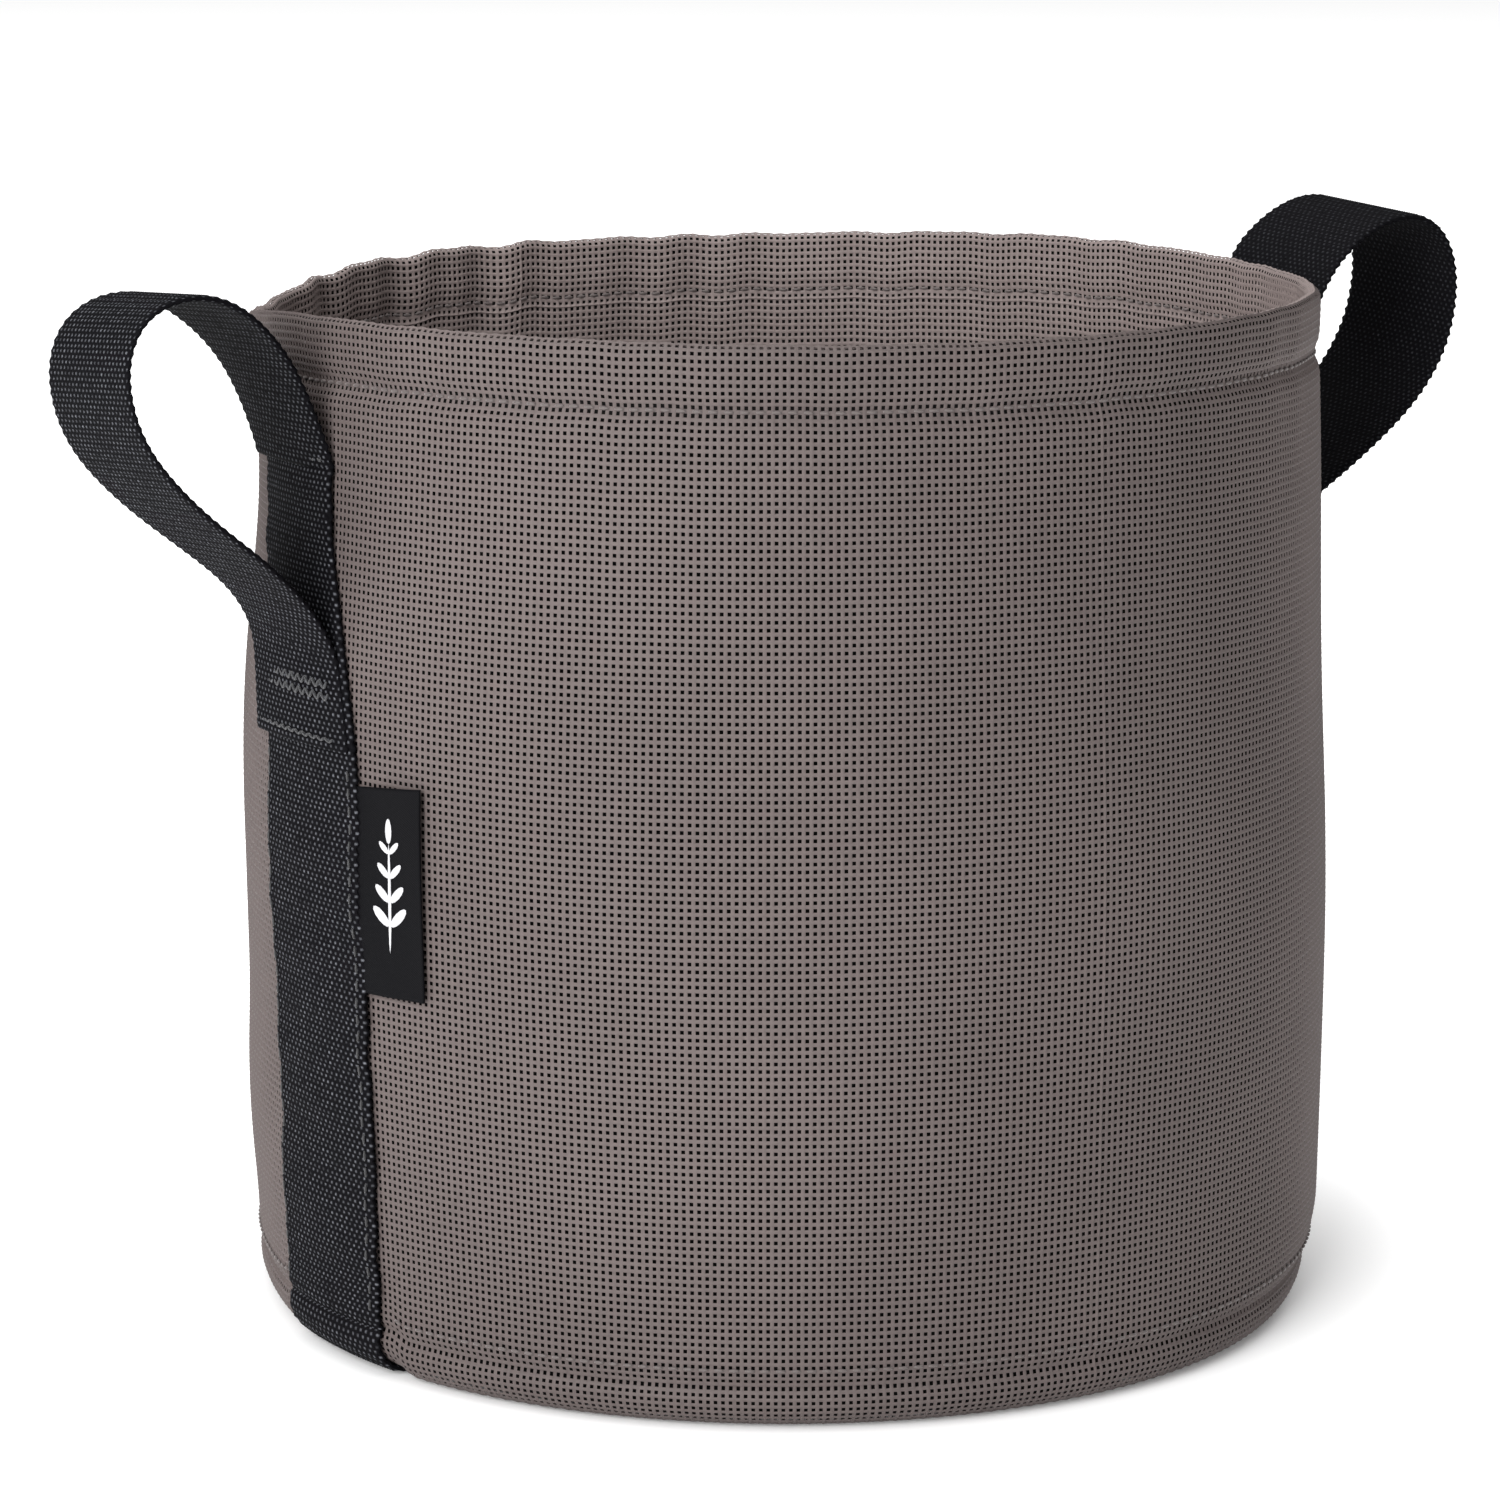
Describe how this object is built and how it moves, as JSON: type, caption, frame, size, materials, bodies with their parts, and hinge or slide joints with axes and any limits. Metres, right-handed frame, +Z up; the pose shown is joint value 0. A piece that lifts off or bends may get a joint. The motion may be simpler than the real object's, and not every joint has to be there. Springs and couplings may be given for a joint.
{
  "type": "fabric grow bag",
  "caption": "Round open-topped fabric planter bag with a felt core between woven mesh layers, a webbing strap under the base and two sewn carry loops.",
  "frame": {"origin": "centre of the base where it meets the ground", "axes": "+Z up along the bag's axis, handles on +X and -X, -Y towards the front panel"},
  "size_m": [0.362, 0.254, 0.238],
  "materials": {
    "outer_mesh": "taupe woven mesh with small square holes",
    "felt_core": "dark needled felt",
    "inner_mesh": "taupe woven mesh with small square holes",
    "webbing": "ribbed charcoal webbing with pale flecks",
    "label": "dark woven label",
    "hem_thread": "taupe sewing thread",
    "strap_thread": "black sewing thread"
  },
  "bodies": {
    "root": {"outer_wall_front": "outer_mesh", "outer_wall_back": "outer_mesh", "outer_base": "outer_mesh", "felt_wall_front": "felt_core", "felt_wall_back": "felt_core", "felt_base": "felt_core", "inner_wall_front": "inner_mesh", "inner_wall_back": "inner_mesh", "inner_base": "inner_mesh", "carry_strap": "webbing", "handle_tab_left": "webbing", "handle_tab_right": "webbing", "hem_thread_outer": "hem_thread", "hem_thread_inner": "hem_thread", "base_seam_thread": "hem_thread", "strap_thread_left": "strap_thread", "strap_thread_right": "strap_thread", "tab_thread_left": "strap_thread", "tab_thread_right": "strap_thread"},
    "handle_left": {"handle_loop_left": "webbing"},
    "handle_right": {"handle_loop_right": "webbing"},
    "label_flap": {"side_label": "label"}
  },
  "joints": [
    {"name": "handle_left_swing", "type": "hinge", "parent": "root", "child": "handle_left", "pos_m": [-0.133, 0, 0.2085], "axis": [0, 1, 0], "range_deg": [-30, 30]},
    {"name": "handle_right_swing", "type": "hinge", "parent": "root", "child": "handle_right", "pos_m": [0.133, 0, 0.2085], "axis": [0, -1, 0], "range_deg": [-30, 30]},
    {"name": "label_flip", "type": "hinge", "parent": "root", "child": "label_flap", "pos_m": [-0.12514, -0.02804, 0.1105], "axis": [0, 0, -1], "range_deg": [0, 85]}
  ]
}
